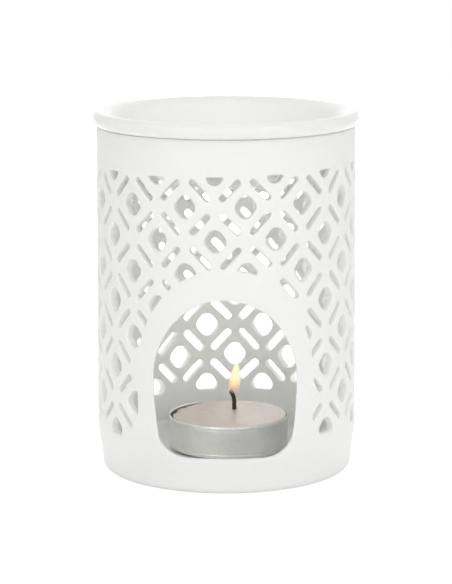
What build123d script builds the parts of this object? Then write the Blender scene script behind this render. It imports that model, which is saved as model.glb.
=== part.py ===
from build123d import *
import math
import os

# Essential oil burner: a pierced ceramic body, a loose glazed dish and a tealight.
# Millimetres. The origin is the centre of the foot on the table, +Z is up, and the doorway
# faces -Y. Angles round the body are counted from the doorway, positive towards +X.

# Burner body: one hollow casting
body_height = 107.65           # table to the flat top of the wall
body_top_radius = 40.0
wall_foot_radius = 40.45       # the widest place, where the wall starts to draw in to the foot
wall_foot_height = 15.25
foot_outer_radius = 39.1
foot_edge_round = 2.4
foot_ring_width = 4.0
wall_thickness = 3.0
floor_top_height = 5.1
floor_thickness = 3.4
floor_corner_round = 2.0       # inside, between the floor and the wall
top_edge_round = 0.6

# Doorway in the front of the body
door_half_width = 21.6
door_offset = -0.4             # the doorway stands a little to the left of the middle
door_spring_height = 34.25     # where the sides turn into the arch
door_arch_rise = 25.5
door_sill_height = 10.85
door_side_radius = 107.0       # the sides bow in towards the sill
door_corner_radius = 8.5
door_side_border = 6.6         # plain wall kept beside the doorway
door_top_border = 9.2          # and above it

# Cut-work lattice
column_count = 13              # openings of one row round the body
row_count = 9
row_pitch = 10.1
lowest_row_height = 16.9
first_column_angle = -4.6      # degrees
front_crowding_angle = 1.9     # degrees, columns crowd together at the front by this much
side_spreading_angle = 0.6     # degrees, and stand wider apart at the two sides by this much
row_twist_angle = 0.15         # degrees, each row stands this much to the left of the one below
band_top_height = 96.65
band_bottom_height = 15.45
band_lean = 0.7                # the pattern sits this much lower at -X and higher at +X

# Quatrefoil opening of the lattice: four wide lobes that leave shallow notches
foil_half_width = 3.3
foil_half_height = 3.55
foil_lobe_radius = 2.4

# Slot opening between neighbouring quatrefoils
slot_length = 8.5
slot_width = 1.95

# Openings that a border cuts down to less than this are left out
least_opening_width = 1.2

# Dish
dish_rim_radius = 41.3
lip_thickness = 4.75           # the lip's underside to its crest
lip_bulge_height = 2.1         # the lip's underside to its widest place
lip_crest_inset = 1.7          # the widest place inwards to the crest
lip_inside_round = 5.3         # the crest turns down into the bowl
bowl_depth = 20.0              # the lip's crest to the inside of the bowl
bowl_thickness = 2.9
bowl_side_angle = 61.0         # degrees from level
bowl_floor_round = 22.0        # inside, between the side and the flat floor
dish_side_clearance = 0.6      # the dish's locating shoulder to the inside of the wall
locating_shoulder_depth = 3.2

# Tealight cup
cup_rim_radius = 19.0
cup_base_radius = 18.3
cup_height = 10.85
cup_sheet = 0.3
cup_base_round = 0.9
cup_roll_radius = 0.45
cup_bead_radius = 0.3
cup_bead_height = 1.7          # the lower bead above the base
cup_bead_pitch = 1.2
cup_bead_count = 2
tealight_offset = 0.7          # the tealight stands a little to the right of the middle

# Tealight wax, wick and the plate that holds the wick
wax_below_rim = 0.4
wax_side_clearance = 0.15
wick_offset_right = 1.75       # the wick has drifted from the middle of the wax
wick_offset_back = 5.5
wick_radius = 0.65
wick_upright = 2.0             # wick above the wax before it bends over
wick_bend_radius = 7.0
wick_bend_angle = 30.0         # degrees
wick_hook_radius = 1.0
wick_hook_angle = 35.0         # degrees, the burnt tip hooks over to the left
plate_radius = 6.5
plate_sheet = 0.3
neck_radius = 1.2
neck_height = 3.2
inlay_clearance = 0.05         # wick and plate to what lies round them

cut_overrun = 1.0              # how far a cutter passes the surfaces it cuts

standing = (Align.CENTER, Align.CENTER, Align.MIN)


def turned(edges):
    # A solid of revolution; the closed outline is given as (radius, height)
    return revolve(Plane.XZ * make_face(edges), Axis.Z, 360)


def joined(shapes):
    whole = shapes[0]
    for shape in shapes[1:]:
        whole = whole + shape
    return whole


# Burner body

floor_underside_height = floor_top_height - floor_thickness
inner_top_radius = body_top_radius - wall_thickness
inner_foot_radius = foot_outer_radius - foot_edge_round


def body_blank():
    contact_radius = foot_outer_radius - foot_edge_round
    ring_inner_radius = contact_radius - foot_ring_width
    foot_edge = (foot_outer_radius, foot_edge_round)
    wall_foot = (wall_foot_radius, wall_foot_height)
    outer_top = (body_top_radius, body_height - top_edge_round)
    outer_crown = (body_top_radius - top_edge_round, body_height)
    inner_crown = (inner_top_radius + top_edge_round, body_height)
    inner_top = (inner_top_radius, body_height - top_edge_round)
    inner_wall_foot = (wall_foot_radius - wall_thickness, wall_foot_height)
    inner_bottom = (inner_foot_radius, floor_top_height + floor_corner_round)
    floor_edge = (inner_foot_radius - floor_corner_round, floor_top_height)
    upright = (0, 1)
    up_the_wall = (body_top_radius - wall_foot_radius, body_height - wall_foot_height)
    return turned([
        Line((ring_inner_radius, 0), (contact_radius, 0)),
        TangentArc((contact_radius, 0), foot_edge, tangent=(1, 0)),
        Spline(foot_edge, wall_foot, tangents=[upright, up_the_wall]),
        Line(wall_foot, outer_top),
        TangentArc(outer_top, outer_crown, tangent=upright),
        Line(outer_crown, inner_crown),
        TangentArc(inner_crown, inner_top, tangent=(-1, 0)),
        Line(inner_top, inner_wall_foot),
        Spline(inner_bottom, inner_wall_foot, tangents=[upright, up_the_wall]),
        TangentArc(inner_bottom, floor_edge, tangent=(0, -1)),
        Line(floor_edge, (0, floor_top_height)),
        Line((0, floor_top_height), (0, floor_underside_height)),
        Line((0, floor_underside_height), (ring_inner_radius, floor_underside_height)),
        Line((ring_inner_radius, floor_underside_height), (ring_inner_radius, 0)),
    ])


def doorway_outline():
    # Half an ellipse on two sides that bow in to rounded corners and a flat sill
    side_centre = door_half_width - door_side_radius
    corner_height = door_sill_height + door_corner_radius
    reach = door_side_radius - door_corner_radius
    drop = door_spring_height - corner_height
    corner_centre = side_centre + math.sqrt(reach ** 2 - drop ** 2)
    slope = math.atan2(drop, corner_centre - side_centre)
    corner_x = corner_centre + door_corner_radius * math.cos(slope)
    corner_z = corner_height - door_corner_radius * math.sin(slope)
    edges = [Line((-corner_centre, door_sill_height), (corner_centre, door_sill_height))]
    for side in (-1, 1):
        spring = (side * door_half_width, door_spring_height)
        corner_top = (side * corner_x, corner_z)
        edges.append(TangentArc(spring, corner_top, tangent=(0, -1)))
        sill_end = (side * corner_centre, door_sill_height)
        edges.append(TangentArc(sill_end, corner_top, tangent=(side, 0)))
    edges.append(arch(door_half_width, door_arch_rise))
    return Pos(door_offset, 0) * make_face(edges)


def arch(half_width, rise):
    return EllipticalCenterArc((0, door_spring_height), half_width, rise, arc_size=180)


def doorway_cutter():
    reach = wall_foot_radius + cut_overrun
    return extrude(Plane.XZ * doorway_outline(), reach)


# Lattice openings. Each is drawn flat, about its own centre: x runs round the wall from the
# doorway's middle and y runs up, and then it is cut through the wall towards the axis.

def quatrefoil():
    across = foil_half_width - foil_lobe_radius
    up = foil_half_height - foil_lobe_radius
    places = ((across, 0), (-across, 0), (0, up), (0, -up))
    return joined([Pos(x, y) * Circle(foil_lobe_radius) for x, y in places])


def slot(angle):
    return SlotOverall(slot_length, slot_width, rotation=angle)


def opening_angle(column, row):
    # Columns are counted in whole openings of an even row; odd rows stand half a column on
    even = first_column_angle + column * 360 / column_count
    turn = math.radians(even)
    crowding = front_crowding_angle * math.sin(turn) + side_spreading_angle * math.sin(2 * turn)
    twist = row_twist_angle * (row - row_count // 2)
    return (even - crowding - twist + 180) % 360 - 180


def wall_radius(height):
    share = (height - wall_foot_height) / (body_height - wall_foot_height)
    return wall_foot_radius + (body_top_radius - wall_foot_radius) * share


def lattice_places():
    # (slant, angle round the wall, height) of every opening of the full band, before it
    # leans. A quatrefoil has slant 0; a slot leans to one side or the other, 1 or -1.
    places = []
    for row in range(row_count):
        height = lowest_row_height + row * row_pitch
        for number in range(column_count):
            places.append((0, opening_angle(number + (row % 2) / 2, row), height))
    for row in range(row_count - 1):
        height = lowest_row_height + (row + 1 / 2) * row_pitch
        for number in range(2 * column_count):
            slant = 1 if (number + row) % 2 else -1
            places.append((slant, opening_angle((number + 1 / 2) / 2, row + 1 / 2), height))
    return places


def band_window(height):
    # The band between its flat top and bottom lines, about one opening's centre
    low = band_bottom_height - height
    high = band_top_height - height
    return Pos(0, (low + high) / 2) * Rectangle(slot_length + row_pitch, high - low)


def doorway_border(angle, height, radius):
    # The plain border round the doorway, unrolled, about one opening's centre
    along = radius * math.radians(angle) - door_offset
    half_width = radius * math.asin(door_half_width / radius) + door_side_border
    rise = door_arch_rise + door_top_border
    edges = [
        Line((-half_width, 0), (half_width, 0)),
        Line((-half_width, 0), (-half_width, door_spring_height)),
        Line((half_width, 0), (half_width, door_spring_height)),
        arch(half_width, rise),
    ]
    return Pos(-along, -height) * make_face(edges)


def lattice_cutters():
    cutters = []
    foil = quatrefoil()
    for slant, angle, band_height in lattice_places():
        height = band_height + band_lean * math.sin(math.radians(angle))
        radius = wall_radius(height)
        half_column = radius * math.pi / column_count
        steepness = math.degrees(math.atan2(row_pitch, half_column))
        opening = slot(slant * steepness) if slant else foil
        opening = opening & band_window(band_height)
        opening = opening - doorway_border(angle, height, radius)
        for piece in opening.faces():
            if piece.area > least_opening_width ** 2:
                cutters.append(wall_cutter(piece, angle, height))
    return cutters


def wall_cutter(face, angle, height):
    turn = math.radians(angle)
    outward = Vector(math.sin(turn), -math.cos(turn))
    along = Vector(math.cos(turn), math.sin(turn))
    start_radius = inner_foot_radius - cut_overrun
    origin = outward * start_radius + Vector(0, 0, height)
    reach = wall_foot_radius + cut_overrun - start_radius
    return extrude(Plane(origin=origin, x_dir=along, z_dir=outward) * face, reach)


def burner_body():
    blank = body_blank() - doorway_cutter()
    return blank.cut(*lattice_cutters())


# Dish

def bowl_side(crest, offset):
    # The bowl's sheet at an offset outwards from its inside: the top of the straight side, its
    # foot, and the edge of the flat floor
    angle = math.radians(bowl_side_angle)
    level, upright = math.cos(angle), math.sin(angle)
    floor_height = crest[1] - bowl_depth
    top = (crest[0] - lip_inside_round * upright, crest[1] - lip_inside_round * (1 - level))
    foot_height = floor_height + bowl_floor_round * (1 - level)
    foot_radius = top[0] - (top[1] - foot_height) * level / upright
    floor_radius = foot_radius - bowl_floor_round * upright
    side_top = (top[0] + offset * upright, top[1] - offset * level)
    side_foot = (foot_radius + offset * upright, foot_height - offset * level)
    return side_top, side_foot, (floor_radius, floor_height - offset)


def oil_dish():
    crest = (dish_rim_radius - lip_crest_inset, body_height + lip_thickness)
    widest = (dish_rim_radius, body_height + lip_bulge_height)
    lip_rise = lip_thickness - lip_bulge_height
    lip_centre = (crest[0], widest[1])
    shoulder_radius = inner_top_radius - dish_side_clearance
    seat_edge = (dish_rim_radius - lip_bulge_height, body_height)
    shoulder_top = (shoulder_radius, body_height)
    shoulder_foot = (shoulder_radius, body_height - locating_shoulder_depth)
    side_top, side_foot, floor_edge = bowl_side(crest, 0)
    outer_foot, outer_floor_edge = bowl_side(crest, bowl_thickness)[1:]
    down_the_side = (side_foot[0] - side_top[0], side_foot[1] - side_top[1])
    return turned([
        Line(shoulder_top, seat_edge),
        TangentArc(seat_edge, widest, tangent=(1, 0)),
        EllipticalCenterArc(lip_centre, lip_crest_inset, lip_rise, arc_size=90),
        TangentArc(crest, side_top, tangent=(-1, 0)),
        Line(side_top, side_foot),
        TangentArc(side_foot, floor_edge, tangent=down_the_side),
        Line(floor_edge, (0, floor_edge[1])),
        Line((0, floor_edge[1]), (0, outer_floor_edge[1])),
        Line((0, outer_floor_edge[1]), outer_floor_edge),
        TangentArc(outer_floor_edge, outer_foot, tangent=(1, 0)),
        Line(outer_foot, shoulder_foot),
        Line(shoulder_foot, shoulder_top),
    ])


# Tealight

cup_wall_top_radius = cup_rim_radius - cup_roll_radius
cup_top_height = floor_top_height + cup_height
cup_floor_height = floor_top_height + cup_sheet
wax_top_height = cup_top_height - wax_below_rim
tealight_place = Pos(tealight_offset, 0, 0)
wick_place = Pos(tealight_offset + wick_offset_right, wick_offset_back, 0)


def cup_radius(height):
    # The outside of the cup's wall, which opens a little towards the rim
    share = (height - floor_top_height) / cup_height
    return cup_base_radius + (cup_wall_top_radius - cup_base_radius) * share


def tealight_cup():
    base_edge = (cup_base_radius - cup_base_round, floor_top_height)
    wall_foot_height = floor_top_height + cup_base_round
    wall_foot = (cup_radius(wall_foot_height), wall_foot_height)
    wall_top_height = cup_top_height - cup_roll_radius
    wall_top = (cup_radius(wall_top_height), wall_top_height)
    inner_top = (wall_top[0] - cup_sheet, wall_top_height)
    inner_foot = (wall_foot[0] - cup_sheet, wall_foot_height)
    inner_base_edge = (base_edge[0], cup_floor_height)
    shell = turned([
        Line((0, floor_top_height), base_edge),
        TangentArc(base_edge, wall_foot, tangent=(1, 0)),
        Line(wall_foot, wall_top),
        Line(wall_top, inner_top),
        Line(inner_top, inner_foot),
        TangentArc(inner_base_edge, inner_foot, tangent=(1, 0)),
        Line(inner_base_edge, (0, cup_floor_height)),
        Line((0, cup_floor_height), (0, floor_top_height)),
    ])
    roll = cup_ring(wall_top_height, cup_roll_radius)
    beads = []
    for number in range(cup_bead_count):
        beads.append(cup_ring(floor_top_height + cup_bead_height + number * cup_bead_pitch, cup_bead_radius))
    return tealight_place * joined([shell, roll] + beads)


def cup_ring(height, ring_radius):
    # A rolled edge or bead that stands out of the cup's wall and stays clear of the wax
    middle_radius = cup_radius(height) + ring_radius - cup_sheet
    limit = cup_rim_radius - ring_radius
    section = Pos(min(middle_radius, limit), height) * Circle(ring_radius)
    return revolve(Plane.XZ * section, Axis.Z, 360)


def wick_plate(extra):
    # The plate with its crimped neck; extra is added all round for the hollow in the wax
    plate_top = cup_floor_height + plate_sheet
    plate = turned([
        Line((0, cup_floor_height), (plate_radius + extra, cup_floor_height)),
        Line((plate_radius + extra, cup_floor_height), (plate_radius + extra, plate_top + extra)),
        Line((plate_radius + extra, plate_top + extra), (0, plate_top + extra)),
        Line((0, plate_top + extra), (0, cup_floor_height)),
    ])
    neck = Pos(0, 0, cup_floor_height) * Cylinder(neck_radius + extra, neck_height + extra, align=standing)
    return plate + neck


def wick_sustainer():
    bore = Cylinder(wick_radius + inlay_clearance, neck_height, align=standing)
    plate_top = cup_floor_height + plate_sheet
    return wick_place * (wick_plate(0) - Pos(0, 0, plate_top) * bore)


def wick():
    start = (0, cup_floor_height + plate_sheet)
    bend_start = (0, wax_top_height + wick_upright)
    lean = math.radians(wick_bend_angle)
    bend_end = (
        -wick_bend_radius * (1 - math.cos(lean)),
        bend_start[1] + wick_bend_radius * math.sin(lean),
    )
    over = math.radians(wick_bend_angle + wick_hook_angle)
    hook_end = (
        bend_end[0] - wick_hook_radius * (math.cos(lean) - math.cos(over)),
        bend_end[1] + wick_hook_radius * (math.sin(over) - math.sin(lean)),
    )
    heading = (-math.sin(lean), math.cos(lean))
    path = Curve() + [
        Line(start, bend_start),
        TangentArc(bend_start, bend_end, tangent=(0, 1)),
        TangentArc(bend_end, hook_end, tangent=heading),
    ]
    section = Plane(origin=(0, 0, start[1]), z_dir=(0, 0, 1)) * Circle(wick_radius)
    return wick_place * sweep(section, path=Plane.XZ * path)


def tealight_wax():
    top_radius = cup_radius(wax_top_height) - cup_sheet - wax_side_clearance
    foot_height = floor_top_height + cup_base_round
    foot_radius = cup_radius(foot_height) - cup_sheet - wax_side_clearance
    base_radius = foot_radius - cup_base_round + cup_sheet
    block = turned([
        Line((0, cup_floor_height), (base_radius, cup_floor_height)),
        Line((base_radius, cup_floor_height), (foot_radius, foot_height)),
        Line((foot_radius, foot_height), (top_radius, wax_top_height)),
        Line((top_radius, wax_top_height), (0, wax_top_height)),
        Line((0, wax_top_height), (0, cup_floor_height)),
    ])
    bore_height = wax_top_height - cup_floor_height + cut_overrun
    bore = Pos(0, 0, cup_floor_height) * Cylinder(wick_radius + inlay_clearance, bore_height, align=standing)
    return tealight_place * block - wick_place * (wick_plate(inlay_clearance) + bore)


def main():
    os.makedirs("parts", exist_ok=True)
    pieces = {
        "burner_body": burner_body,
        "oil_dish": oil_dish,
        "tealight_cup": tealight_cup,
        "tealight_wax": tealight_wax,
        "wick": wick,
        "wick_sustainer": wick_sustainer,
    }
    for name, make in pieces.items():
        export_step(make(), f"parts/{name}.step", write_pcurves=False)


main()
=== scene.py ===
import math

import bmesh
import bpy
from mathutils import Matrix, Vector, noise


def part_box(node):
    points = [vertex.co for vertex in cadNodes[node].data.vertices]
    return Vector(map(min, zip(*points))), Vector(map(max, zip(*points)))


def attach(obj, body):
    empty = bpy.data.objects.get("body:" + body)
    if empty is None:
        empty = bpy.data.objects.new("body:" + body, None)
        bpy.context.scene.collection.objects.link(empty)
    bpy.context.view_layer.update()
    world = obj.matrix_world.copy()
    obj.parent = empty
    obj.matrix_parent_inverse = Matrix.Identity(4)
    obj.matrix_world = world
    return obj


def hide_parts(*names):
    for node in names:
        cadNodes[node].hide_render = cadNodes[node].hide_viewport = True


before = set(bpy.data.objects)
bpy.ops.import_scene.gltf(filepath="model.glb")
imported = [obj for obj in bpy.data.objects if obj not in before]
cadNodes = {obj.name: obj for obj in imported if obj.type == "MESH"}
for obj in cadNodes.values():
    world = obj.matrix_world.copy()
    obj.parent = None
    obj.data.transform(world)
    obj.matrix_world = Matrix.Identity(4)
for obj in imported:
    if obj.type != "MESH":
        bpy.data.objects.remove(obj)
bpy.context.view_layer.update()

# Essential oil burner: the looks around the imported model. Metres, +Z up, the doorway faces -Y.
mm = 0.001
scene = bpy.context.scene
spinWeld = 0.005 * mm     # points of a spun outline nearer than this are joined


# Small helpers

def meshPiece(name, bm):
    # turns a bmesh into a smooth object at the origin
    bmesh.ops.recalc_face_normals(bm, faces=bm.faces)
    mesh = bpy.data.meshes.new(name)
    bm.to_mesh(mesh)
    bm.free()
    for face in mesh.polygons:
        face.use_smooth = True
    piece = bpy.data.objects.new(name, mesh)
    scene.collection.objects.link(piece)
    return piece


def applyModifiers(piece):
    graph = bpy.context.evaluated_depsgraph_get()
    graph.update()
    finished = bpy.data.meshes.new_from_object(piece.evaluated_get(graph))
    piece.modifiers.clear()
    piece.data = finished
    for face in finished.polygons:
        face.use_smooth = True


def subdivide(piece, levels):
    modifier = piece.modifiers.new("subdivision", "SUBSURF")
    modifier.levels = levels
    modifier.render_levels = levels
    return piece


def spinOutline(outline, steps):
    # spins (radius, height) points, in metres, round the Z axis
    bm = bmesh.new()
    verts = [bm.verts.new((radius, 0, height)) for radius, height in outline]
    edges = [bm.edges.new(pair) for pair in zip(verts, verts[1:])]
    bmesh.ops.spin(
        bm, geom=verts + edges, cent=(0, 0, 0), axis=(0, 0, 1),
        angle=math.tau, steps=steps, use_merge=True,
    )
    bmesh.ops.remove_doubles(bm, verts=bm.verts, dist=spinWeld)
    return bm


def smoothShare(value, low, high):
    # 0 below low, 1 above high, and a smooth climb between them
    share = min(1, max(0, (value - low) / (high - low)))
    return share * share * (3 - 2 * share)


def dress(piece, body, slot, material, *nodes):
    # gives a piece its finish and its body, and hides the CAD nodes that it stands for
    piece.data.materials.clear()
    piece.data.materials.append(material)
    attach(piece, body)
    if nodes:
        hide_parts(*nodes)


# Camera, fitted to the rims of the dish and the tealight
camera = {
    "place": (0.2 * mm, -738.2 * mm, 195.45 * mm),
    "pitchDown": 10.78,     # degrees
    "roll": 0.12,           # degrees, the right side sits a little higher
    "lens": 147.95,         # millimetres
    "sensorWidth": 36,      # millimetres
    "clipStart": 0.05,
    "clipEnd": 20,
}


def makeCamera():
    data = bpy.data.cameras.new("camera")
    data.lens = camera["lens"]
    data.sensor_width = camera["sensorWidth"]
    data.clip_start = camera["clipStart"]
    data.clip_end = camera["clipEnd"]
    view = bpy.data.objects.new("camera", data)
    view.location = camera["place"]
    view.rotation_euler = (math.radians(90 - camera["pitchDown"]), math.radians(camera["roll"]), 0)
    scene.collection.objects.link(view)
    scene.camera = view


makeCamera()
print("camera placed")


# Shader helpers, and the groups that several finishes share
shared = {
    "cloudDetail": 3,
    "fineDetail": 2,
    "cloudFrom": 0.12,      # cloud times fine noise, where the shade starts to show
    "cloudTo": 0.4,         # and where it shows in full
    "waveDetail": 1,
    "grainDetail": 4,
}


def newGroup(name, inputs, outputs):
    group = bpy.data.node_groups.new(name, "ShaderNodeTree")
    for label, kind, value in inputs:
        socket = group.interface.new_socket(label, in_out="INPUT", socket_type=kind)
        socket.default_value = value
    for label, kind in outputs:
        group.interface.new_socket(label, in_out="OUTPUT", socket_type=kind)
    start = group.nodes.new("NodeGroupInput")
    end = group.nodes.new("NodeGroupOutput")
    return group, start, end


def makeCloudyTint():
    # two colours mixed by a soft cloud, broken up by a finer one
    group, start, end = newGroup("cloudyTint", [
        ("Colour", "NodeSocketColor", (1, 1, 1, 1)),
        ("Shade", "NodeSocketColor", (0.8, 0.8, 0.8, 1)),
        ("Cloud Scale", "NodeSocketFloat", 60),
        ("Fine Scale", "NodeSocketFloat", 600),
        ("Amount", "NodeSocketFloat", 0.5),
    ], [("Colour", "NodeSocketColor"), ("Mask", "NodeSocketFloat")])
    nodes, link = group.nodes, group.links.new
    place = nodes.new("ShaderNodeTexCoord")
    cloud = nodes.new("ShaderNodeTexNoise")
    cloud.inputs["Detail"].default_value = shared["cloudDetail"]
    fine = nodes.new("ShaderNodeTexNoise")
    fine.inputs["Detail"].default_value = shared["fineDetail"]
    both = nodes.new("ShaderNodeMath")
    both.operation = "MULTIPLY"
    spread = nodes.new("ShaderNodeMapRange")
    spread.inputs["From Min"].default_value = shared["cloudFrom"]
    spread.inputs["From Max"].default_value = shared["cloudTo"]
    amount = nodes.new("ShaderNodeMath")
    amount.operation = "MULTIPLY"
    mix = nodes.new("ShaderNodeMix")
    mix.data_type = "RGBA"
    link(place.outputs["Object"], cloud.inputs["Vector"])
    link(place.outputs["Object"], fine.inputs["Vector"])
    link(start.outputs["Cloud Scale"], cloud.inputs["Scale"])
    link(start.outputs["Fine Scale"], fine.inputs["Scale"])
    link(cloud.outputs["Fac"], both.inputs[0])
    link(fine.outputs["Fac"], both.inputs[1])
    link(both.outputs[0], spread.inputs["Value"])
    link(spread.outputs["Result"], amount.inputs[0])
    link(start.outputs["Amount"], amount.inputs[1])
    link(amount.outputs[0], mix.inputs["Factor"])
    link(start.outputs["Colour"], mix.inputs[6])
    link(start.outputs["Shade"], mix.inputs[7])
    link(mix.outputs[2], end.inputs["Colour"])
    link(amount.outputs[0], end.inputs["Mask"])
    return group


def makeSurfaceGrain():
    # a bump height of soft waves and fine grain
    group, start, end = newGroup("surfaceGrain", [
        ("Wave Scale", "NodeSocketFloat", 80),
        ("Grain Scale", "NodeSocketFloat", 1500),
        ("Grain Share", "NodeSocketFloat", 0.3),
    ], [("Height", "NodeSocketFloat")])
    nodes, link = group.nodes, group.links.new
    place = nodes.new("ShaderNodeTexCoord")
    wave = nodes.new("ShaderNodeTexNoise")
    wave.inputs["Detail"].default_value = shared["waveDetail"]
    grain = nodes.new("ShaderNodeTexNoise")
    grain.inputs["Detail"].default_value = shared["grainDetail"]
    mix = nodes.new("ShaderNodeMix")
    link(place.outputs["Object"], wave.inputs["Vector"])
    link(place.outputs["Object"], grain.inputs["Vector"])
    link(start.outputs["Wave Scale"], wave.inputs["Scale"])
    link(start.outputs["Grain Scale"], grain.inputs["Scale"])
    link(start.outputs["Grain Share"], mix.inputs["Factor"])
    link(wave.outputs["Fac"], mix.inputs[2])
    link(grain.outputs["Fac"], mix.inputs[3])
    link(mix.outputs[0], end.inputs["Height"])
    return group


def makeSideTone():
    # tones a colour down on the way from one side to the other, along X
    group, start, end = newGroup("sideTone", [
        ("Colour", "NodeSocketColor", (1, 1, 1, 1)),
        ("Tone", "NodeSocketColor", (0.8, 0.8, 0.8, 1)),
        ("From Right", "NodeSocketFloat", 0),
        ("To Right", "NodeSocketFloat", 0.01),
    ], [("Colour", "NodeSocketColor")])
    nodes, link = group.nodes, group.links.new
    place = nodes.new("ShaderNodeTexCoord")
    split = nodes.new("ShaderNodeSeparateXYZ")
    spread = nodes.new("ShaderNodeMapRange")
    spread.interpolation_type = "SMOOTHSTEP"
    mix = nodes.new("ShaderNodeMix")
    mix.data_type = "RGBA"
    mix.blend_type = "MULTIPLY"
    link(place.outputs["Object"], split.inputs["Vector"])
    link(split.outputs["X"], spread.inputs["Value"])
    link(start.outputs["From Right"], spread.inputs["From Min"])
    link(start.outputs["To Right"], spread.inputs["From Max"])
    link(spread.outputs["Result"], mix.inputs["Factor"])
    link(start.outputs["Colour"], mix.inputs[6])
    link(start.outputs["Tone"], mix.inputs[7])
    link(mix.outputs[2], end.inputs["Colour"])
    return group


cloudyTint = makeCloudyTint()
surfaceGrain = makeSurfaceGrain()
sideTone = makeSideTone()


def newMaterial(name):
    material = bpy.data.materials.new(name)
    material.use_nodes = True
    return material, material.node_tree.nodes, material.node_tree.links.new


def placeGroup(nodes, group, values):
    node = nodes.new("ShaderNodeGroup")
    node.node_tree = group
    for label, value in values.items():
        node.inputs[label].default_value = value
    return node


def mapped(nodes, link, value, low, high):
    # spreads a 0 to 1 mask from low to high
    spread = nodes.new("ShaderNodeMapRange")
    spread.inputs["To Min"].default_value = low
    spread.inputs["To Max"].default_value = high
    link(value, spread.inputs["Value"])
    return spread.outputs["Result"]


def cloudySurface(name, look):
    # the common start of a finish: cloudy colour, roughness that follows it, and bumped grain
    material, nodes, link = newMaterial(name)
    shader = nodes["Principled BSDF"]
    tint = placeGroup(nodes, cloudyTint, {
        "Colour": look["colour"], "Shade": look["shade"],
        "Cloud Scale": look["cloud"], "Fine Scale": look["fine"], "Amount": look["amount"],
    })
    colour = tint.outputs["Colour"]
    if "tone" in look:
        side = placeGroup(nodes, sideTone, {
            "Tone": look["tone"], "From Right": look["toneFrom"], "To Right": look["toneTo"],
        })
        link(colour, side.inputs["Colour"])
        colour = side.outputs["Colour"]
    link(colour, shader.inputs["Base Color"])
    link(mapped(nodes, link, tint.outputs["Mask"], *look["roughness"]), shader.inputs["Roughness"])
    grain = placeGroup(nodes, surfaceGrain, {
        "Wave Scale": look["wave"], "Grain Scale": look["grain"], "Grain Share": look["grainShare"],
    })
    bump = nodes.new("ShaderNodeBump")
    bump.inputs["Strength"].default_value = 1
    bump.inputs["Distance"].default_value = look["bump"]
    link(grain.outputs["Height"], bump.inputs["Height"])
    link(bump.outputs["Normal"], shader.inputs["Normal"])
    return material, shader, bump


# Matt ceramic of the body
mattCeramic = {
    "colour": (0.935, 0.936, 0.92, 1),
    "shade": (0.915, 0.915, 0.9, 1),
    "cloud": 45,
    "fine": 900,
    "amount": 0.8,
    "roughness": (0.5, 0.62),
    "wave": 120,
    "grain": 2600,
    "grainShare": 0.35,
    "bump": 0.03 * mm,
}

# Glossy glaze of the dish
dishGlaze = {
    "colour": (0.92, 0.917, 0.902, 1),
    "shade": (0.9, 0.897, 0.885, 1),
    "cloud": 40,
    "fine": 500,
    "amount": 0.8,
    "roughness": (0.07, 0.13),
    "wave": 55,
    "grain": 900,
    "grainShare": 0.06,
    "bump": 0.06 * mm,
    "coat": 0.3,
    "coatRoughness": 0.04,
}

# Drawn aluminium of the tealight cup
cupAluminium = {
    "colour": (0.93, 0.94, 0.915, 1),
    "shade": (0.83, 0.84, 0.815, 1),
    "tone": (0.82, 0.82, 0.82, 1),  # painted shade: darker towards its right side, where the cup is lit less
    "toneFrom": -10 * mm,
    "toneTo": 7 * mm,
    "cloud": 160,
    "fine": 1500,
    "amount": 0.9,
    "roughness": (0.27, 0.4),
    "wave": 240,
    "grain": 2400,
    "grainShare": 0.3,
    "bump": 0.05 * mm,
    "markScale": 900,       # upright drawing marks
    "markStretch": (1, 1, 0.12),
    "markDetail": 3,
    "markBump": 0.02 * mm,
}

# Candle wax, pinkish beige
candleWax = {
    "colour": (0.9, 0.805, 0.755, 1),
    "shade": (0.83, 0.725, 0.67, 1),
    "tone": (0.76, 0.745, 0.72, 1), # deeper on its left side
    "toneFrom": 8 * mm,
    "toneTo": -9 * mm,
    "cloud": 110,
    "fine": 420,
    "amount": 0.9,
    "roughness": (0.3, 0.45),
    "wave": 260,
    "grain": 1800,
    "grainShare": 0.25,
    "bump": 0.12 * mm,
    "glow": 0.3,            # share of light that passes under the surface
    "glowDepth": (3.5 * mm, 2.2 * mm, 1.6 * mm),
}

# Burnt cotton of the wick
burntCotton = {
    "colour": (0.018, 0.014, 0.012, 1),
    "shade": (0.05, 0.032, 0.024, 1),
    "cloud": 900,
    "fine": 3000,
    "amount": 1,
    "roughness": (0.75, 0.95),
    "wave": 1800,
    "grain": 6000,
    "grainShare": 0.4,
    "bump": 0.15 * mm,
}

# Stamped steel of the wick's plate, which lies under the wax
plateSteel = {
    "colour": (0.6, 0.6, 0.59, 1),
    "shade": (0.45, 0.44, 0.43, 1),
    "cloud": 300,
    "fine": 2500,
    "amount": 1,
    "roughness": (0.3, 0.5),
    "wave": 500,
    "grain": 4000,
    "grainShare": 0.5,
    "bump": 0.03 * mm,
}


def makeFinish(name, look, more):
    # a cloudy surface, with more of its shader's inputs set
    material, shader, bump = cloudySurface(name, look)
    for label, value in more.items():
        shader.inputs[label].default_value = value
    return material


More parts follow.
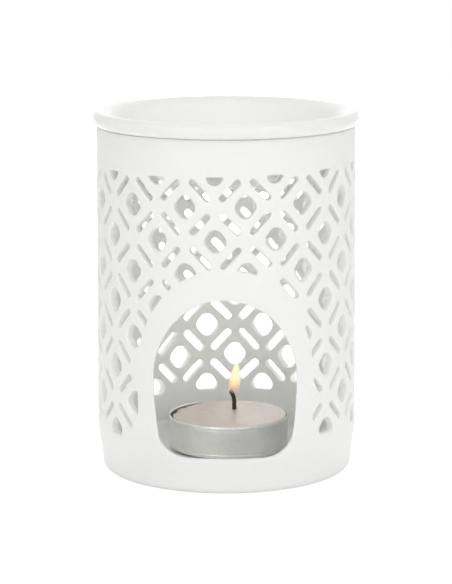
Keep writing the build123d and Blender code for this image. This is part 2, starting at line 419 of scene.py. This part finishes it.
def makeAluminium():
    material, shader, bump = cloudySurface("cupAluminium", cupAluminium)
    nodes, link = material.node_tree.nodes, material.node_tree.links.new
    shader.inputs["Metallic"].default_value = 1
    place = nodes.new("ShaderNodeTexCoord")
    squeeze = nodes.new("ShaderNodeMapping")
    squeeze.inputs["Scale"].default_value = cupAluminium["markStretch"]
    marks = nodes.new("ShaderNodeTexNoise")
    marks.inputs["Scale"].default_value = cupAluminium["markScale"]
    marks.inputs["Detail"].default_value = cupAluminium["markDetail"]
    markBump = nodes.new("ShaderNodeBump")
    markBump.inputs["Strength"].default_value = 1
    markBump.inputs["Distance"].default_value = cupAluminium["markBump"]
    link(place.outputs["Object"], squeeze.inputs["Vector"])
    link(squeeze.outputs["Vector"], marks.inputs["Vector"])
    link(marks.outputs["Fac"], markBump.inputs["Height"])
    link(markBump.outputs["Normal"], bump.inputs["Normal"])
    return material


ceramicFinish = makeFinish("mattCeramic", mattCeramic, {})
cottonFinish = makeFinish("burntCotton", burntCotton, {})
glazeFinish = makeFinish("dishGlaze", dishGlaze, {
    "Coat Weight": dishGlaze["coat"],
    "Coat Roughness": dishGlaze["coatRoughness"],
})
aluminiumFinish = makeAluminium()
waxFinish = makeFinish("candleWax", candleWax, {
    "Subsurface Weight": candleWax["glow"],
    "Subsurface Radius": candleWax["glowDepth"],
    "Subsurface Scale": 1,
})
steelFinish = makeFinish("plateSteel", plateSteel, {"Metallic": 1})
print("finishes made")


# Burner body: the cast shape, with the soft edges and the wander of hand-cut openings
casting = {
    "voxel": 0.32 * mm,
    "quickVoxel": 0.5 * mm,
    "weld": 0.002 * mm,
    "smoothing": 7,         # passes that round the edges
    "softening": 0.5,       # share of the way that each pass moves a point
    "wander": 0.3 * mm,
    "wanderScale": 95,      # per metre
    "wanderSeed": 1796023512,   # unseeded, noise_vector takes its offsets from the clock
    "openBack": 0.3 * mm,   # the cuts at the back are this much wider all round
    "openFrom": 5 * mm,     # from this far behind the middle
    "openTo": 25 * mm,
    "plainFoot": 11 * mm,   # heights between which the wander fades out
    "cutFoot": 19 * mm,
    "cutTop": 95 * mm,
    "plainTop": 101 * mm,
    "triangles": 190000,
}


def makeBody():
    bm = bmesh.new()
    bm.from_mesh(cadNodes["burner_body"].data)
    bmesh.ops.remove_doubles(bm, verts=bm.verts, dist=casting["weld"])
    body = meshPiece("burnerCasting", bm)
    remesh = body.modifiers.new("remesh", "REMESH")
    remesh.mode = "VOXEL"
    remesh.voxel_size = casting["voxel"]
    soften = body.modifiers.new("soften", "SMOOTH")
    soften.factor = casting["softening"]
    soften.iterations = casting["smoothing"]
    applyModifiers(body)
    noise.seed_set(casting["wanderSeed"])
    # the normals are copied first, because a moved point makes Blender work them all out again
    normals = [normal.vector.copy() for normal in body.data.vertex_normals]
    for vertex, normal in zip(body.data.vertices, normals):
        place = vertex.co
        behind = smoothShare(place.y, casting["openFrom"], casting["openTo"])
        drift = noise.noise_vector(place * casting["wanderScale"]) * casting["wander"]
        drift -= normal * casting["openBack"] * behind
        outward = Vector((place.x, place.y, 0)).normalized()
        drift -= outward * drift.dot(outward)
        rise = smoothShare(place.z, casting["plainFoot"], casting["cutFoot"])
        fall = 1 - smoothShare(place.z, casting["cutTop"], casting["plainTop"])
        vertex.co = place + drift * rise * fall
    print("body softened:", len(body.data.polygons), "faces")
    thin = body.modifiers.new("thin", "DECIMATE")
    thin.ratio = min(1, casting["triangles"] / (2 * len(body.data.polygons)))
    applyModifiers(body)
    print("body thinned:", len(body.data.polygons), "faces")
    dress(body, "burner", "matt_ceramic", ceramicFinish, "burner_body")


makeBody()


# Dish: a thrown and glazed bowl, whose thick lip hangs over the body's wall
dish = {
    "steps": 96,
    "roundSteps": 5,
    "bowlSteps": 10,
    "levels": 2,
    "lipThickness": 4.75 * mm,
    "bulgeHeight": 2.1 * mm,        # the lip's underside to its widest place
    "crestInset": 1.7 * mm,
    "insideRound": 5.3 * mm,        # the crest turns down into the bowl
    "sideAngle": 61,                # degrees from level
    "floorRound": 22 * mm,
    "depth": 20 * mm,
    "shoulderInset": 4.9 * mm,
    "shoulderDepth": 3.2 * mm,
    "softCorner": 0.35 * mm,
}


def arcPoints(centre, across, up, start, end, steps):
    # points along part of an ellipse, from one angle to another in degrees
    points = []
    for step in range(steps + 1):
        turn = math.radians(start + (end - start) * step / steps)
        points.append((centre[0] + across * math.cos(turn), centre[1] + up * math.sin(turn)))
    return points


def dishOutline(rim, top, bottom):
    # from the shoulder over the lip, down into the bowl, and back along its underside
    seat = top - dish["lipThickness"]
    widest = seat + dish["bulgeHeight"]
    crest = rim - dish["crestInset"]
    shoulder = rim - dish["shoulderInset"]
    shoulderFoot = seat - dish["shoulderDepth"]
    soft = dish["softCorner"]
    turn, bend = dish["insideRound"], dish["floorRound"]
    angle = math.radians(dish["sideAngle"])
    floor = top - dish["depth"]
    sheet = floor - bottom
    sideTop = crest - turn * math.sin(angle)
    sideFoot = floor + bend * (1 - math.cos(angle))
    sideFall = top - turn * (1 - math.cos(angle)) - sideFoot
    middle = (sideTop - sideFall / math.tan(angle) - bend * math.sin(angle), floor + bend)
    low, high = -90, dish["sideAngle"] - 90
    bulge = dish["bulgeHeight"]
    rounds = dish["roundSteps"]
    return (
        [(shoulder, shoulderFoot), (shoulder, seat - soft), (shoulder + soft, seat)]
        + arcPoints((rim - bulge, widest), bulge, bulge, -90, 0, rounds)
        + arcPoints((crest, widest), rim - crest, top - widest, 0, 90, rounds)[1:]
        + arcPoints((crest, top - turn), turn, turn, 90, 90 + dish["sideAngle"], rounds)[1:]
        + arcPoints(middle, bend, bend, high, low, dish["bowlSteps"])
        + [(0, floor), (0, bottom)]
        + arcPoints(middle, bend + sheet, bend + sheet, low, high, dish["bowlSteps"])
        + [(shoulder - soft, shoulderFoot - soft), (shoulder, shoulderFoot)]
    )


def makeDish():
    low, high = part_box("oil_dish")
    bm = spinOutline(dishOutline(high.x, high.z, low.z), dish["steps"])
    # the axis between the two sheets isn't a surface
    loose = [edge for edge in bm.edges if not edge.link_faces]
    bmesh.ops.delete(bm, geom=loose, context="EDGES_FACES")
    bowl = subdivide(meshPiece("oilDish", bm), dish["levels"])
    dress(bowl, "dish", "glazed_ceramic", glazeFinish, "oil_dish")


makeDish()
print("dish made")


# Tealight cup: thin drawn aluminium with a rolled rim and two beads near the foot
cup = {
    "steps": 120,
    "levels": 1,
    "sheet": 0.28 * mm,
    "floorHeight": 0.5 * mm,
    # radius short of the rim's radius and height above the floor, in millimetres
    "outside": (
        (4.0, 0.5), (2.9, 0.45), (2.3, 0.1), (1.7, 0.0), (1.0, 0.05), (0.62, 0.3), (0.48, 0.7),
        (0.46, 1.05), (0.28, 1.35), (0.46, 1.65), (0.45, 1.95), (0.3, 2.25), (0.43, 2.6),
        (0.38, 3.6), (0.3, 5.8), (0.22, 8.0), (0.16, 9.1), (0.12, 9.45),
    ),
    "rimHalfWidth": 0.3 * mm,
    "rimHalfHeight": 0.62 * mm,
    "rollFrom": -70,        # degrees, from under the roll, round its outside, to the inner wall
    "rollSweep": 250,
    "rollSteps": 8,
    "plainRadius": 10 * mm, # nothing nearer the middle is dented or lifted
    "dents": 0.1 * mm,      # how far the thin wall is out of round
    "dentScale": 120,
    "dentFrom": 1 * mm,     # heights between which the dents fade in
    "dentTo": 5 * mm,
    "liftAngle": -135,      # degrees from +X, where the base edge stands off the floor
    "liftSpread": 50,
    "lift": 0.4 * mm,
    "liftHeight": 3 * mm,   # where the lift has faded out
}


def cupOutline(radius, height):
    outside = [(radius - side * mm, up * mm) for side, up in cup["outside"]]
    across, up = cup["rimHalfWidth"], cup["rimHalfHeight"]
    rolled = []
    for step in range(cup["rollSteps"] + 1):
        turn = math.radians(cup["rollFrom"] + cup["rollSweep"] * step / cup["rollSteps"])
        wide = radius - across + across * math.cos(turn)
        rolled.append((wide, height - up + up * math.sin(turn)))
    sheet, under = cup["sheet"], cup["floorHeight"]
    # the inner wall follows the outer one down to the heel, and the floor runs from there
    inside = [(wide - sheet, max(high, sheet)) for wide, high in reversed(outside[5:-1])]
    floor = [(outside[3][0] - sheet, under), (outside[0][0], under + sheet), (0, under + sheet)]
    return [(0, under)] + outside + rolled + inside + floor


def makeCup():
    low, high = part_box("tealight_cup")
    centre = (low + high) / 2
    outline = cupOutline((high.x - low.x) / 2, high.z - low.z)
    bm = spinOutline(outline, cup["steps"])
    for vertex in bm.verts:
        outward = Vector((vertex.co.x, vertex.co.y, 0))
        if outward.length > cup["plainRadius"]:
            share = smoothShare(vertex.co.z, cup["dentFrom"], cup["dentTo"])
            dent = noise.noise(vertex.co * cup["dentScale"]) * cup["dents"] * share
            turn = math.atan2(outward.y, outward.x) - math.radians(cup["liftAngle"])
            away = math.remainder(turn, math.tau) / math.radians(cup["liftSpread"])
            fade = 1 - smoothShare(vertex.co.z, 0, cup["liftHeight"])
            lift = cup["lift"] * math.exp(-away * away) * fade
            vertex.co -= outward.normalized() * abs(dent)
            vertex.co.z += lift
        vertex.co += Vector((centre.x, centre.y, low.z))
    piece = subdivide(meshPiece("tealightCup", bm), cup["levels"])
    dress(piece, "tealight", "cup_aluminium", aluminiumFinish, "tealight_cup")


makeCup()
print("cup made")


# Wax: a cake with a pool mark by the wick, shrunk from the cup at its left and back
wax = {
    "steps": 144,
    "rings": 48,
    "edgeRound": 0.35 * mm,
    "edgeShares": (0.3, 0.02),  # of that round, in from the side and down from the top
    "rise": 0.32 * mm,      # the set wax stands higher than its flat solid
    "ripple": 0.1 * mm,
    "rippleScale": 300,
    "swell": 0.14 * mm,
    "swellScale": 85,
    # where the wax has shrunk from the cup: degrees from +X, spread in degrees, depth, drop
    "gaps": (
        (163, 26, 0.95 * mm, 0.6 * mm), (132, 14, 0.4 * mm, 0.3 * mm), (94, 17, 0.5 * mm, 0.3 * mm),
    ),
    "gapRagged": 0.5,
    "gapRaggedScale": 400,
    "gapHeights": (0.3, 0.9),   # shares of the height between which a gap opens
    "gapReach": 0.7,            # share of the radius where it starts
    "dropReach": 0.86,          # and where the top starts to drop towards it
    "poolRadius": 4.5 * mm,
    "poolFlat": 0.5,            # share of that radius at full depth
    "poolDepth": 0.2 * mm,
    "collarRadius": 1.4 * mm,
    "collarFlat": 0.4 * mm,     # radius of its highest part
    "collarRise": 0.3 * mm,
    # small dimples: right of and behind the wick's foot, radius and depth, in millimetres
    "dimples": (
        (1.1, -2.6, 0.5, 0.3), (3.3, -3.4, 0.8, 0.22), (2.2, -4.6, 0.9, 0.15), (5.2, 3.4, 0.5, 0.3),
    ),
}


def makeWax(wickFoot):
    low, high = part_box("tealight_wax")
    centre = (low + high) / 2
    radius = (high.x - low.x) / 2
    height = high.z - low.z + wax["rise"]
    bend = wax["edgeRound"]
    rings = wax["rings"]
    inward, downward = wax["edgeShares"]
    foot, crown = (height * share for share in wax["gapHeights"])
    top = [(radius * ring / rings, height) for ring in range(rings)]
    edge = [
        (radius - inward * bend, height - downward * bend), (radius, height - bend),
        (radius, height / 2), (radius, bend), (radius - bend, 0),
    ]
    outline = top + edge + [(radius / 2, 0), (0, 0)]
    bm = spinOutline(outline, wax["steps"])
    for vertex in bm.verts:
        place = vertex.co.copy()
        world = place + Vector((centre.x, centre.y, low.z))
        across = math.hypot(place.x, place.y)
        ragged = 1 + wax["gapRagged"] * noise.noise(world * wax["gapRaggedScale"])
        depth = drop = 0
        for angle, spread, gapDepth, gapDrop in wax["gaps"]:
            turn = math.remainder(math.atan2(place.y, place.x) - math.radians(angle), math.tau)
            gap = math.exp(-(turn / math.radians(spread)) ** 2) * ragged
            depth += gap * gapDepth
            drop += gap * gapDrop
        upper = smoothShare(place.z, foot, crown)
        near = smoothShare(across, radius * wax["gapReach"], radius)
        if across > 0:
            world -= Vector((place.x, place.y, 0)) / across * depth * near * upper
        if place.z > crown:
            drop *= smoothShare(across, radius * wax["dropReach"], radius)
            wave = noise.noise(world * wax["rippleScale"]) * wax["ripple"]
            swell = noise.noise(world * wax["swellScale"]) * wax["swell"]
            fromWick = (Vector((world.x, world.y)) - wickFoot.xy).length
            poolFlat = wax["poolFlat"] * wax["poolRadius"]
            pool = wax["poolDepth"] * (1 - smoothShare(fromWick, poolFlat, wax["poolRadius"]))
            fade = 1 - smoothShare(fromWick, wax["collarFlat"], wax["collarRadius"])
            collar = wax["collarRise"] * fade
            dimple = 0
            for right, behind, reach, hollow in wax["dimples"]:
                toRight = world.x - wickFoot.x - right * mm
                toBack = world.y - wickFoot.y - behind * mm
                away = math.hypot(toRight, toBack)
                dimple += hollow * mm * (1 - smoothShare(away, 0, reach * mm))
            world.z += collar - pool - drop - dimple + wave + swell
        vertex.co = world
    piece = meshPiece("waxCake", bm)
    dress(piece, "tealight", "wax", waxFinish, "tealight_wax")


# Wick: a twisted cotton cord, charred and hooked over at its tip
wick = {
    "sides": 36,
    "rings": 110,
    "fluff": 0.06 * mm,     # loose fibres make the cord this much thicker
    "strands": 3,
    "strandDepth": 0.1,     # share of the radius
    "twist": 1300,          # degrees from foot to tip
    "upright": 2.6 * mm,    # above the flat solid of the wax
    "bendRadius": 7 * mm,
    "bendAngle": 30,
    "hookRadius": 1.0 * mm,
    "hookAngle": 35,
    "ragged": 0.06 * mm,
    "raggedScale": 1800,
    "burntFrom": 0.45,      # share of the way up where the cord starts to be more ragged
}


def wickPath(foot, waxTop):
    # returns a function: the place and lean of the cord's middle, a share of the way up it
    straight = waxTop - foot.z + wick["upright"]
    bend = math.radians(wick["bendAngle"])
    hook = math.radians(wick["hookAngle"])
    stages = (
        (wick["bendRadius"], bend, straight),
        (wick["hookRadius"], hook, straight + bend * wick["bendRadius"]),
    )
    total = stages[1][2] + hook * wick["hookRadius"]

    def at(share):
        run = share * total
        place = Vector((foot.x, foot.y, foot.z + min(run, straight)))
        lean = 0.0
        for radius, angle, before in stages:
            turned = min(max(0, run - before) / radius, angle)
            place.x += radius * (math.cos(lean + turned) - math.cos(lean))
            place.z += radius * (math.sin(lean + turned) - math.sin(lean))
            lean += turned
        return place, lean
    return at


def makeWick(foot, radius, waxTop):
    at = wickPath(foot, waxTop)
    bm = bmesh.new()
    bmesh.ops.create_cone(
        bm, cap_ends=True, segments=wick["sides"], radius1=radius, radius2=radius, depth=1,
    )
    upright = [edge for edge in bm.edges if abs(edge.verts[0].co.z - edge.verts[1].co.z) > 0.5]
    bmesh.ops.subdivide_edges(bm, edges=upright, cuts=wick["rings"], use_grid_fill=True)
    for vertex in bm.verts:
        share = vertex.co.z + 0.5
        angle = math.atan2(vertex.co.y, vertex.co.x)
        groove = 0.5 - 0.5 * math.cos(wick["strands"] * angle)
        across = (radius + wick["fluff"]) * (1 - wick["strandDepth"] * groove)
        turn = angle + math.radians(wick["twist"]) * share
        middle, lean = at(share)
        sideways = Vector((math.cos(lean), 0, math.sin(lean)))
        offset = sideways * across * math.cos(turn) + Vector((0, across * math.sin(turn), 0))
        place = middle + offset
        burnt = smoothShare(share, wick["burntFrom"], 1)
        worn = abs(noise.noise(place * wick["raggedScale"]))
        vertex.co = place - offset.normalized() * worn * wick["ragged"] * (1 + burnt)
    piece = meshPiece("charredWick", bm)
    dress(piece, "tealight", "wick_cotton", cottonFinish, "wick")


wickLow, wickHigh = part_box("wick")
wickRadius = (wickHigh.y - wickLow.y) / 2
wickFoot = Vector((wickHigh.x - wickRadius, (wickLow.y + wickHigh.y) / 2, wickLow.z))
makeWax(wickFoot)
makeWick(wickFoot, wickRadius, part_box("tealight_wax")[1].z)
print("wax and wick made")


# Flame: a sheer teardrop that stands on the charred end
flame = {
    "steps": 64,
    "levels": 1,
    # shares of the half width and of the height
    "outline": (
        (0.45, 0.0), (0.8, 0.03), (0.97, 0.1), (1.0, 0.18), (0.96, 0.3), (0.88, 0.46), (0.8, 0.6),
        (0.68, 0.77), (0.5, 0.9), (0.27, 0.98),
    ),
    "halfWidth": 1.88 * mm,
    "height": 9.6 * mm,
    "foot": 0.85 * mm,      # below the top of the wick's solid
    "right": -0.05 * mm,    # of the wick's foot
    "sway": 0.85 * mm,      # the tip leans this much to the right
    "swayPower": 1.5,
    # colours from foot to tip
    "stops": (
        (0.0, (0.6, 0.44, 0.34, 1)), (0.14, (0.78, 0.5, 0.34, 1)), (0.24, (0.9, 0.62, 0.4, 1)),
        (0.36, (1.0, 0.8, 0.42, 1)), (0.5, (1.0, 0.97, 0.62, 1)), (1.0, (1.0, 0.98, 0.62, 1)),
    ),
    "strength": 1.0,
    "sheerFoot": 0.35,      # opacity at the foot
    "sheerRise": 0.34,      # share of the height that reaches full opacity
    "sheerEdge": 0.1,       # opacity where the flame is seen edge on
    "edgeBlend": 0.3,
}


def makeFlameFinish(foot, tip):
    material, nodes, link = newMaterial("candleFlame")
    shader = nodes["Principled BSDF"]
    shader.inputs["Base Color"].default_value = (0, 0, 0, 1)
    shader.inputs["Roughness"].default_value = 1
    shader.inputs["Specular IOR Level"].default_value = 0
    shader.inputs["Emission Strength"].default_value = flame["strength"]
    place = nodes.new("ShaderNodeTexCoord")
    split = nodes.new("ShaderNodeSeparateXYZ")
    climb = nodes.new("ShaderNodeMapRange")
    climb.inputs["From Min"].default_value = foot
    climb.inputs["From Max"].default_value = tip
    ramp = nodes.new("ShaderNodeValToRGB")
    stops = ramp.color_ramp.elements
    while len(stops) < len(flame["stops"]):
        stops.new(0.5)
    for stop, (position, colour) in zip(stops, flame["stops"]):
        stop.position = position
        stop.color = colour
    edge = nodes.new("ShaderNodeLayerWeight")
    edge.inputs["Blend"].default_value = flame["edgeBlend"]
    rise = nodes.new("ShaderNodeMapRange")
    rise.inputs["From Max"].default_value = flame["sheerRise"]
    rise.inputs["To Min"].default_value = flame["sheerFoot"]
    opacity = nodes.new("ShaderNodeMath")
    opacity.operation = "MULTIPLY"
    link(place.outputs["Object"], split.inputs["Vector"])
    link(split.outputs["Z"], climb.inputs["Value"])
    link(climb.outputs["Result"], ramp.inputs["Fac"])
    link(climb.outputs["Result"], rise.inputs["Value"])
    link(ramp.outputs["Color"], shader.inputs["Emission Color"])
    link(mapped(nodes, link, edge.outputs["Facing"], 1, flame["sheerEdge"]), opacity.inputs[0])
    link(rise.outputs["Result"], opacity.inputs[1])
    link(opacity.outputs[0], shader.inputs["Alpha"])
    return material


def makeFlame():
    foot = wickHigh.z - flame["foot"]
    halfWidth, height = flame["halfWidth"], flame["height"]
    side = [(halfWidth * across, height * up) for across, up in flame["outline"]]
    bm = spinOutline([(0, 0)] + side + [(0, height)], flame["steps"])
    for vertex in bm.verts:
        share = vertex.co.z / height
        sway = share ** flame["swayPower"] * flame["sway"]
        vertex.co += Vector((wickFoot.x + flame["right"] + sway, wickFoot.y, foot))
    piece = subdivide(meshPiece("candleFlame", bm), flame["levels"])
    finish = makeFlameFinish(foot, foot + height)
    dress(piece, "tealight", "wick_cotton", finish)


makeFlame()
print("flame made")


# Wick plate: the CAD node stays, in stamped steel
cadNodes["wick_sustainer"].data.materials.clear()
cadNodes["wick_sustainer"].data.materials.append(steelFinish)


# Studio: a pale floor, a white background and soft light
studio = {
    "floorHalf": 3.0,                   # metres
    "floorDrop": 0.05 * mm,
    "floorColour": (0.9, 0.9, 0.9, 1),
    "floorSeen": (0.3, 0.3, 0.3, 1),    # what the camera and gloss see of its own colour
    "floorGlow": 0.84,                  # and the white behind it
    "skyLight": 0.49,
    "boxes": (
        # name, degrees from -Y towards +X, degrees up, distance, width, height, radiance, in gloss
        ("leftBox", -34, 26, 2.0, 0.85, 1.0, 0.68, True),
        ("rightBox", 41, 26, 2.0, 0.85, 1.0, 0.9, True),
        ("frontBox", 4, 6, 1.7, 1.3, 0.9, 1.65, False),
        ("topBox", 0, 72, 2.0, 1.0, 1.0, 3.05, False),
        ("backBox", 180, 8, 1.2, 0.5, 0.9, 24.0, False),
    ),
    "aim": 60 * mm,
}


def seenDirectly(nodes, link):
    # 1 for rays that show the background: from the camera, off gloss and through glass
    path = nodes.new("ShaderNodeLightPath")
    total = path.outputs["Is Camera Ray"]
    for name in ("Is Glossy Ray", "Is Transmission Ray"):
        join = nodes.new("ShaderNodeMath")
        join.operation = "MAXIMUM"
        link(total, join.inputs[0])
        link(path.outputs[name], join.inputs[1])
        total = join.outputs[0]
    return total


def makeFloor():
    bm = bmesh.new()
    bmesh.ops.create_grid(bm, x_segments=2, y_segments=2, size=studio["floorHalf"])
    bmesh.ops.translate(bm, verts=bm.verts, vec=(0, 0, -studio["floorDrop"]))
    floor = meshPiece("studioFloor", bm)
    material, nodes, link = newMaterial("studioFloor")
    seen = seenDirectly(nodes, link)
    shader = nodes["Principled BSDF"]
    shader.inputs["Roughness"].default_value = 1
    shader.inputs["Specular IOR Level"].default_value = 0
    shader.inputs["Emission Color"].default_value = (1, 1, 1, 1)
    mix = nodes.new("ShaderNodeMix")
    mix.data_type = "RGBA"
    mix.inputs[6].default_value = studio["floorColour"]
    mix.inputs[7].default_value = studio["floorSeen"]
    link(seen, mix.inputs[0])
    link(mix.outputs[2], shader.inputs["Base Color"])
    link(mapped(nodes, link, seen, 0, studio["floorGlow"]), shader.inputs["Emission Strength"])
    floor.data.materials.append(material)


def makeSky():
    world = bpy.data.worlds.new("studioSky")
    scene.world = world
    world.use_nodes = True
    nodes, link = world.node_tree.nodes, world.node_tree.links.new
    seen = seenDirectly(nodes, link)
    link(mapped(nodes, link, seen, studio["skyLight"], 1), nodes["Background"].inputs["Strength"])
    nodes["Background"].inputs["Color"].default_value = (1, 1, 1, 1)


def makeLights():
    aim = Vector((0, 0, studio["aim"]))
    for name, across, up, distance, width, height, radiance, inGloss in studio["boxes"]:
        data = bpy.data.lights.new(name, "AREA")
        data.shape = "RECTANGLE"
        data.size = width
        data.size_y = height
        data.energy = radiance * math.pi * width * height
        lamp = bpy.data.objects.new(name, data)
        across, up = math.radians(across), math.radians(up)
        level = math.cos(up)
        away = Vector((math.sin(across) * level, -math.cos(across) * level, math.sin(up)))
        lamp.location = aim + away * distance
        lamp.rotation_euler = away.to_track_quat("Z", "Y").to_euler()
        lamp.visible_camera = False
        lamp.visible_glossy = inGloss
        scene.collection.objects.link(lamp)


makeFloor()
makeSky()
makeLights()
scene.view_settings.view_transform = "Standard"
print("studio made")
